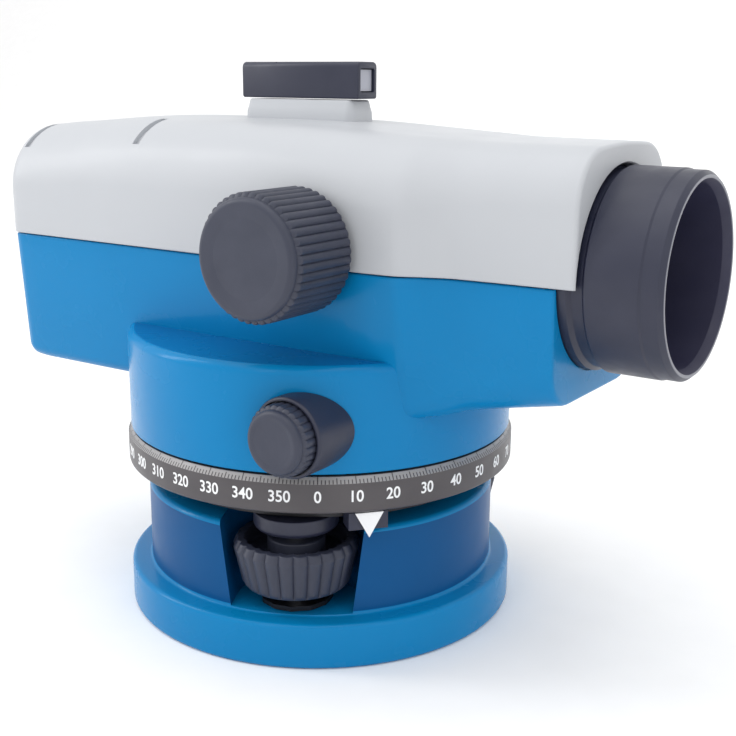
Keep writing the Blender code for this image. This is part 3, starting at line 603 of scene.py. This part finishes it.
def shoulder_groove(x, top, side):
    """Cutter for a short groove of even depth across one round shoulder of the shell."""
    outline = []
    steps = 12
    for radius, order in ((SHOULDER - GROOVE_DEPTH, 1), (SHOULDER + 2, -1)):
        for step in range(steps + 1)[::order]:
            angle = radians(5 + 45 * step / steps)
            outline.append((side * (SHOULDER_Y + radius * sin(angle)),
                            top - SHOULDER + radius * cos(angle)))
    half = GROOVE_WIDTH / 2
    return lofted([[(place, y, z) for y, z in outline] for place in (x - half, x + half)])


# ---------------------------------------------------------------- base

def make_base():
    rim = BASE_RADIUS
    profile = [(THREAD_BUSH_HOLE, 0), (rim, 0, 1.2), (rim, LEDGE, 1.3), (WALL_RADIUS, LEDGE, 0.9),
               (WALL_RADIUS, BASE_HIGH.z, 1.6), (BASE_BORE, BASE_HIGH.z, 0.6), (BASE_BORE, 16),
               (THREAD_BUSH_HOLE, 16)]
    base = turned(profile, 192)
    floor = LEDGE + 0.4
    for foot in FEET:
        angle = atan2(foot.y, foot.x)
        sections = []
        for radius, z in ((POCKET_RADIUS, floor), (POCKET_TOP_RADIUS, BASE_HIGH.z + 2)):
            outline = []
            for step in range(33):
                turn = angle + pi / 2 + pi * step / 32
                outline.append((foot.x + radius * cos(turn), foot.y + radius * sin(turn), z))
            reach = 24
            for x, y, z in (outline[-1], outline[0]):
                outline.append((x + reach * cos(angle), y + reach * sin(angle), z))
            sections.append(outline)
        pocket = lofted(sections)
        cup = turned([(0, 6.5), (5.4, 6.5), (5.4, 14), (0, 14)], 32, "Z", (foot.x, foot.y, 0))
        base = cut(base, pocket, cup)
    # Upright faces above the flange take the darker blue: painted shade under the circle.
    for face in base.faces:
        middle = face.calc_center_median()
        upright = abs(face.normal.z) < 0.3 and middle.z > LEDGE + 0.8
        face.material_index = 1 if upright else 0
    piece("base_casting", base, [BLUE, BLUE_PAINTED_SHADE_WALL], "base", ["base_plate"], 30,
          bevel=0.7)


# ---------------------------------------------------------------- knobs and rings

def grip_wave(count, depth):
    """Rounded ribs: the radius drops by depth in the grooves between them."""
    def wave(angle, radius):
        phase = abs(sin(count * angle / 2))
        return radius - depth * (1 - phase ** 0.6)
    return wave


def knob_shape(radius, ribs, depth, back, front, axis, place, face_round=1.2, dish=0.0):
    """Knob with a ribbed grip and a plain front face; the outline runs back to front."""
    ribbed = grip_wave(ribs, depth)
    grip_end = front - 2.4
    profile = arc_corners([(0, back), (radius, back, 0.6), (radius, grip_end, 0.5),
                           (radius - depth - 0.5, grip_end + 0.5),
                           (radius - depth - 0.6, front, face_round),
                           (radius * 0.62, front - dish, 0.8), (0, front - dish)])

    def size(angle, reach, height):
        grip = back + 0.3 < height < grip_end + 0.4 and reach > radius - 1.0
        return ribbed(angle, reach) if grip else min(reach, radius - depth)
    return spun(profile, ribs * 8, axis, place, size)


def make_knobs():
    knob = knob_shape(FOCUS_RADIUS, 44, 0.6, FOCUS_BACK, FOCUS_FRONT, "-Y",
                      (FOCUS.x, 0, FOCUS.z), 1.4, 0.5)
    bore = turned([(0, FOCUS_BACK - 1), (2.8, FOCUS_BACK - 1), (2.8, 50), (0, 50)], 32, "-Y",
                  (FOCUS.x, 0, FOCUS.z))
    piece("focus_knob_grip", cut(knob, bore), GRIP, "focus", ["focus_knob"], 40)

    for name, axis, side in (("right", "-Y", -1), ("left", "Y", 1)):
        low, high = box(f"tangent_knob_{name}")
        back = min(abs(low.y), abs(high.y))
        front = max(abs(low.y), abs(high.y))
        knob = knob_shape(TANGENT_RADIUS, 28, 0.4, back, front, axis, (WORM.x, 0, WORM.z), 1.4,
                          0.3)
        bore = turned([(0, back - 1), (2.9, back - 1), (2.9, back + 4.3), (0, back + 4.3)], 24,
                      axis, (WORM.x, 0, WORM.z))
        piece(f"tangent_grip_{name}", cut(knob, bore), GRIP, "worm",
              [f"tangent_knob_{name}"], 40)
        mouth = back + 1.5
        outer = TANGENT_RADIUS + 1.2
        socket = turned([(3.3, 25), (outer, 25), (outer, mouth, 0.8), (outer - 0.7, mouth, 0.2),
                         (outer - 0.7, back - 0.3), (3.3, back - 0.3)], 96, axis,
                        (WORM.x, 0, WORM.z))
        drum = turned([(0, 40), (DRUM_RADIUS + 0.3, 40), (DRUM_RADIUS + 0.3, 90), (0, 90)], 192)
        piece(f"tangent_boss_{name}", cut(socket, drum), DARK, "alidade",
              [f"tangent_socket_{name}"], 40)

    for number, foot in enumerate(FEET, 1):
        low, high = box(f"foot_screw_{number}_knob")
        heel, rim = FOOT_KNOB_HEEL, FOOT_KNOB_RADIUS
        profile = [(3.2, low.z), (13.3, low.z, 0.8), (heel, low.z + 1.2, 0.6),
                   (rim, high.z - 2.0, 0.8), (15.4, high.z, 0.5), (13.2, high.z, 0.5),
                   (13.2, high.z - 4.5, 1.0), (7.5, high.z - 4.5, 1.0), (7.5, high.z, 0.5),
                   (3.2, high.z)]

        def wave(angle, radius):
            return grip_wave(FOOT_KNOB_RIBS, 0.8)(angle, radius) if radius > 13.6 else radius
        knob = turned(profile, FOOT_KNOB_RIBS * 8, "Z", (foot.x, foot.y, 0), wave)
        piece(f"foot_knob_{number}", knob, GRIP, f"foot_screw_{number}",
              [f"foot_screw_{number}_knob"], 40)
        low, high = box(f"foot_bush_{number}")
        seat = low.z + 4.7
        profile = [(3.4, low.z), (COLLAR_RADIUS, low.z, 1.6), (COLLAR_RADIUS, seat, 0.3),
                   (6, seat), (6, high.z), (3.4, high.z)]
        bush = turned(profile, 64, "Z", (foot.x, foot.y, 0))
        piece(f"foot_collar_{number}", bush, DARK, "tribrach",
              [f"foot_bush_{number}"], 40)


def make_circle():
    rim = RING_RADIUS
    low, top = RING_LOW.z, RING_HIGH.z
    profile = [(RING_BORE, low), (rim, low, 1.0), (rim, top - RIM_BEVEL, 0.15),
               (rim - RIM_BEVEL * 0.8, top, 0.2), (RING_BORE, top)]
    ring = turned(profile, 256)
    for face in ring.faces:
        middle = face.calc_center_median()
        slanted = 0.1 < face.normal.z < 0.95 and middle.z > top - 1.6
        face.material_index = 1 if slanted else 0
    piece("circle_ring", ring, [CIRCLE, CIRCLE_RIM], "circle",
          ["graduated_circle"], 30)

    marks = bmesh.new()
    across = RIM_BEVEL * 0.8
    slope = Vector((RIM_BEVEL, across)).normalized()
    for degree in range(360):
        length = 1.0 if degree % 10 == 0 else 0.8 if degree % 5 == 0 else 0.55
        angle = radians(degree + ZERO_ANGLE)
        layers = []
        for lift in (-0.1, 0.03):
            corners = []
            for share, side in ((0.0, -1), (0.0, 1), (length, 1), (length, -1)):
                reach = rim - across * share + slope.x * lift
                height = top - RIM_BEVEL * (1 - share) + slope.y * lift
                offset = side * MARK_HALF_WIDTH
                corners.append((reach * cos(angle) - offset * sin(angle),
                                reach * sin(angle) + offset * cos(angle), height))
            layers.append([marks.verts.new(corner) for corner in corners])
        inner, outer = layers
        marks.faces.new(outer)
        marks.faces.new(list(reversed(inner)))
        for step in range(4):
            after = (step + 1) % 4
            marks.faces.new((inner[step], inner[after], outer[after], outer[step]))
    piece("circle_marks", outward(marks), CIRCLE, "circle", (), 30)

    for number in range(36):
        add_figure(str(number * 10), number * 10 + ZERO_ANGLE, rim, low + 4.4)


def add_figure(text, angle_degrees, radius, height):
    """One generic figure, bent around the circle's rim."""
    curve = bpy.data.curves.new("figure", "FONT")
    curve.body = text
    curve.size = FIGURE_SIZE
    curve.align_x = "CENTER"
    curve.align_y = "CENTER"
    curve.extrude = 0.06
    curve.offset = 0.06
    source = bpy.data.objects.new("figure", curve)
    bpy.context.scene.collection.objects.link(source)
    depsgraph = bpy.context.evaluated_depsgraph_get()
    shape = bmesh.new()
    shape.from_mesh(source.evaluated_get(depsgraph).to_mesh())
    bpy.data.objects.remove(source)
    bmesh.ops.remove_doubles(shape, verts=shape.verts, dist=0.001)
    for vertex in shape.verts:
        angle = radians(angle_degrees) + vertex.co.x * 0.92 / radius
        reach = radius + vertex.co.z
        vertex.co = (reach * cos(angle), reach * sin(angle), height + vertex.co.y)
    piece(f"circle_figure_{text}", shape, INK, "circle", (), 30)


# ---------------------------------------------------------------- telescope ends and sight

def make_hood():
    x0, x1 = HOOD_LOW.x, HOOD_HIGH.x
    outer = HOOD_RADIUS
    bore = HOOD_BORE
    groove = x1 - 5.4
    seat = UPPER_FRONT + 0.2
    profile = [(bore, x0), (outer, x0, 0.5), (outer, seat - 3), (outer - 0.9, seat - 2),
               (outer - 0.9, seat + 0.6, 0.3), (outer, seat + 1.2, 0.4), (outer, groove, 0.3),
               (outer - 0.3, groove + 0.5, 0.2), (outer - 0.3, x1 - 1.2, 0.4),
               (outer - 1.4, x1, 0.3), (LIP_BORE, x1, 0.2), (bore, x1 - 2.2, 0.6)]
    hood = turned(profile, 192, "X", (0, 0, AXIS_Z))
    # Front rim faces take the light grey, a painted highlight; the bore takes the inside colour.
    for face in hood.faces:
        middle = face.calc_center_median()
        reach = hypot(middle.y, middle.z - AXIS_Z)
        lip = middle.x > x1 - 0.15 and reach > LIP_BORE - 0.3
        inside = not lip and reach < LIP_BORE and middle.x > x0 + 0.1
        face.material_index = 2 if lip else 1 if inside else 0
    piece("hood_ring", hood, [DARK, HOOD_INSIDE, HOOD_LIP_PAINTED_HIGHLIGHT], "alidade",
          ["objective_hood"], 30)

    low, high = box("lens_ring")
    bore = LENS_RADIUS - 1.9
    profile = [(LENS_RADIUS, low.x), (LENS_RADIUS, high.x, 0.3), (LENS_RADIUS - 1.1, high.x, 0.4),
               (bore, high.x - 1.4, 0.3), (bore, low.x)]
    piece("lens_clamp_ring", turned(profile, 128, "X", (0, 0, AXIS_Z)), BLACK_ANODISED, "alidade",
          ["lens_ring"])
    low, high = box("objective_lens")
    profile = [(0, low.x)]
    rim_low, rim_high = low.x + 2.5, high.x - 2.8
    for step in range(1, 11):
        share = step / 10
        profile.append((LENS_RADIUS * share, low.x + (rim_low - low.x) * share ** 2))
    for step in range(10, 0, -1):
        share = step / 10
        profile.append((LENS_RADIUS * share, high.x + (rim_high - high.x) * share ** 2))
    profile.append((0, high.x))
    piece("objective_glass", turned(profile, 96, "X", (0, 0, AXIS_Z)), COATED, "alidade",
          ["objective_lens"])


def make_sight():
    low, high = SIGHT_LOW, SIGHT_HIGH
    outline = [(low.y, low.z, 0.5), (high.y, low.z, 0.5), (high.y, high.z, 1.4),
               (low.y, high.z, 1.4)]
    section = arc_corners(outline)
    sections = []
    for x, inset in ((low.x, 0.5), (low.x + 0.15, 0.15), (low.x + 0.5, 0), (high.x - 0.5, 0),
                     (high.x - 0.15, 0.15), (high.x, 0.5)):
        middle = ((low.y + high.y) / 2, (low.z + high.z) / 2)
        half = ((high.y - low.y) / 2, (high.z - low.z) / 2)
        sections.append([(x, middle[0] + (y - middle[0]) * (1 - inset / half[0]),
                          middle[1] + (z - middle[1]) * (1 - inset / half[1])) for y, z in section])
    body = lofted(sections)
    middle = (low.z + high.z) / 2
    opening = [[(x, y, z) for y, z in arc_corners([
        (-3.2, middle - 3, 0.6), (3.2, middle - 3, 0.6), (3.2, middle + 3, 0.6),
        (-3.2, middle + 3, 0.6)])] for x in (low.x - 1, high.x + 1)]
    seam = slab((low.x + 11.4, low.x + 11.7), (-6, 6), (high.z - 0.35, high.z + 1))
    body = cut(body, lofted(opening), seam)
    piece("sight_case", body, DARK, "alidade", ["sight_body"], 30)


def make_eyepiece():
    low, high = box("eyepiece_mount")
    seat = REAR - 0.3
    profile = [(PIPE_BORE, low.x), (FLANGE_RADIUS, low.x, 0.9), (FLANGE_RADIUS, seat, 0.3),
               (PIPE_RADIUS, seat), (PIPE_RADIUS, high.x), (PIPE_BORE, high.x)]
    piece("eyepiece_flange", turned(profile, 128, "X", (0, 0, AXIS_Z)), DARK, "alidade",
          ["eyepiece_mount"])
    low, high = box("eyepiece_ring")
    grip = grip_wave(36, 0.5)

    def wave(angle, radius):
        return grip(angle, radius) if radius > 13.0 else radius
    profile = [(9.2, low.x), (10.6, low.x, 0.5), (12.0, low.x + 1.4, 0.8),
               (12.4, high.x - 9.2, 0.3), (EYEPIECE_RADIUS, high.x - 8.8, 0.5),
               (EYEPIECE_RADIUS, high.x, 0.5), (10.2, high.x), (10.2, low.x + 6.4),
               (7.8, low.x + 5.5), (7.8, low.x + 2.5, 0.5)]
    piece("eyepiece_grip", turned(profile, 288, "X", (0, 0, AXIS_Z), wave), GRIP, "eyepiece_dial",
          ["eyepiece_ring"], 40)


def make_level():
    low, high = box("level_holder")
    x, y = LEVEL.x, LEVEL.y
    rim = LEVEL_RADIUS
    profile = [(0, low.z), (8.6, low.z, 0.5), (rim, low.z + 1.2, 0.4), (rim, high.z, 0.8),
               (7.4, high.z, 0.3), (7.4, high.z - 4.2), (0, high.z - 4.2)]
    piece("level_cup", turned(profile, 96, "Z", (x, y, 0)), DARK, "alidade",
          ["level_holder"])
    low, high = box("level_vial")
    profile = [(0, low.z), (7.1, low.z), (7.1, high.z - 0.9, 0.4)]
    for step in range(8, -1, -1):
        share = step / 8
        profile.append((6.6 * share, high.z - 0.7 * share ** 2))
    piece("level_glass", turned(profile, 96, "Z", (x, y, 0)), BUBBLE_FLUID, "alidade",
          ["level_vial"])
    ring = turned([(2.5, high.z - 0.3), (2.9, high.z - 0.3), (2.9, high.z - 0.02),
                   (2.5, high.z - 0.02)], 64, "Z", (x, y, 0))
    piece("level_circle_mark", ring, BLACK_ANODISED, "alidade")
    bubble = turned([(0, high.z - 0.4), (1.9, high.z - 0.3), (1.5, high.z - 0.02, 0.1),
                     (0, high.z - 0.005)], 48, "Z", (x + 0.3, y, 0))
    piece("level_bubble", bubble, BUBBLE, "alidade")


# ---------------------------------------------------------------- studio

CAMERA_PLACE = Vector((188.5, -252.8, 144.2))
CAMERA_AZIMUTH = 34.3                          # degrees, as are the next two
CAMERA_PITCH = 14.2
CAMERA_ROLL = 0.4
CAMERA_LENS = 56.2
LAMP_AIM = Vector((0, 0, 0.07))                # metres, as is everything in the studio
BACKDROP_AIM = Vector((0, 2.2, 0.5))
FLOOR_HALF_WIDTH = 3.0
FLOOR_FRONT = -1.6
FLOOR_BACK = 1.0                               # where the floor starts to curve up
SWEEP_RADIUS = 0.9


def make_studio():
    floor_mesh = bpy.data.meshes.new("studio_floor")
    shape = bmesh.new()
    rows = []
    steps = 24
    for step in range(steps + 1):
        share = step / steps
        if share < 0.5:
            y, z = FLOOR_FRONT + share * 2 * (FLOOR_BACK - FLOOR_FRONT), 0.0
        else:
            turn = (share - 0.5) * pi
            y, z = FLOOR_BACK + SWEEP_RADIUS * sin(turn), SWEEP_RADIUS * (1 - cos(turn))
        rows.append([shape.verts.new((x, y, z)) for x in (-FLOOR_HALF_WIDTH, FLOOR_HALF_WIDTH)])
    for row, following in zip(rows, rows[1:]):
        shape.faces.new((row[0], row[1], following[1], following[0]))
    shape.to_mesh(floor_mesh)
    shape.free()
    floor_mesh.shade_smooth()
    floor = bpy.data.objects.new("studio_floor", floor_mesh)
    bpy.context.scene.collection.objects.link(floor)
    floor_mesh.materials.append(surface("studio_paper", (0.93, 0.93, 0.93), (0.95, 0.95, 0.95),
                                        0.8, 400, 0.02))

    world = bpy.data.worlds.new("studio_world")
    world.use_nodes = True
    background = world.node_tree.nodes["Background"]
    background.inputs["Color"].default_value = (1.0, 1.0, 1.0, 1)
    background.inputs["Strength"].default_value = 1.0
    bpy.context.scene.world = world

    lamps = (                                      # name, place, width, height, watts
        ("key_left", (-0.85, -0.45, 0.60), 0.22, 0.8, 3.2),
        ("key_front", (0.05, -1.05, 0.85), 0.20, 0.7, 0.7),
        ("fill_right", (0.95, -0.30, 0.60), 0.20, 0.8, 0.35),
        ("overhead", (0.0, -0.15, 1.15), 1.1, 1.1, 4.0),
        ("backdrop", (0.0, 0.75, 1.0), 1.6, 0.8, 8.0),
    )
    for name, place, width, height, power in lamps:
        light = bpy.data.lights.new(name, "AREA")
        light.shape = "RECTANGLE"
        light.size = width
        light.size_y = height
        light.energy = power
        lamp = bpy.data.objects.new(name, light)
        lamp.location = place
        aim = BACKDROP_AIM if name == "backdrop" else LAMP_AIM
        lamp.rotation_euler = (aim - Vector(place)).to_track_quat("-Z", "Y").to_euler()
        bpy.context.scene.collection.objects.link(lamp)


def make_camera():
    azimuth, pitch, roll = radians(CAMERA_AZIMUTH), radians(CAMERA_PITCH), radians(CAMERA_ROLL)
    forward = Vector((-sin(azimuth) * cos(pitch), cos(azimuth) * cos(pitch), -sin(pitch)))
    right = Vector((cos(azimuth), sin(azimuth), 0))
    up = right.cross(forward)
    tilted_right = right * cos(roll) + up * sin(roll)
    tilted_up = up * cos(roll) - right * sin(roll)
    camera = bpy.data.cameras.new("camera")
    camera.sensor_width = 36
    camera.lens = CAMERA_LENS
    camera.clip_start = 0.01
    obj = bpy.data.objects.new("camera", camera)
    matrix = Matrix((tilted_right, tilted_up, -forward)).transposed().to_4x4()
    matrix.translation = CAMERA_PLACE * MM
    obj.matrix_world = matrix
    bpy.context.scene.collection.objects.link(obj)
    bpy.context.scene.camera = obj
    bpy.context.scene.view_settings.view_transform = "Standard"


make_camera()
make_studio()
make_lower_housing()
make_upper_shell()
make_base()
make_knobs()
make_circle()
make_hood()
make_sight()
make_eyepiece()
make_level()
dress(DARK, "bottom_cover", "index_bracket", "focus_bush", "mirror_bracket")
dress(BLACK_ANODISED, "tribrach", "objective_barrel", "telescope_tube")
dress(BLACK_ANODISED, "foot_clip_1", "foot_clip_2", "foot_clip_3")
dress(STEEL, "vertical_spindle", "damper_magnet", "foot_screw_1_spindle", "foot_screw_2_spindle",
      "foot_screw_3_spindle")
dress(STEEL_Y, "worm_shaft", "focus_pinion")
dress(BRASS, "tripod_bush", "axis_sleeve", "worm_wheel", "pendulum")
dress(BRASS_X, "focusing_cell", "reticle_cell", "eyepiece_cell")
dress(CAST, "telescope_cradle", "compensator_frame")
dress(GLASS, "prism_front", "prism_rear", "pendulum_prism", "reticle", "sight_window_rear",
      "focusing_lens")
dress(COATED, "eyepiece_lens")
dress(FROSTED, "sight_window_front")
dress(MIRROR, "level_mirror")
dress(INK, "index_mark")
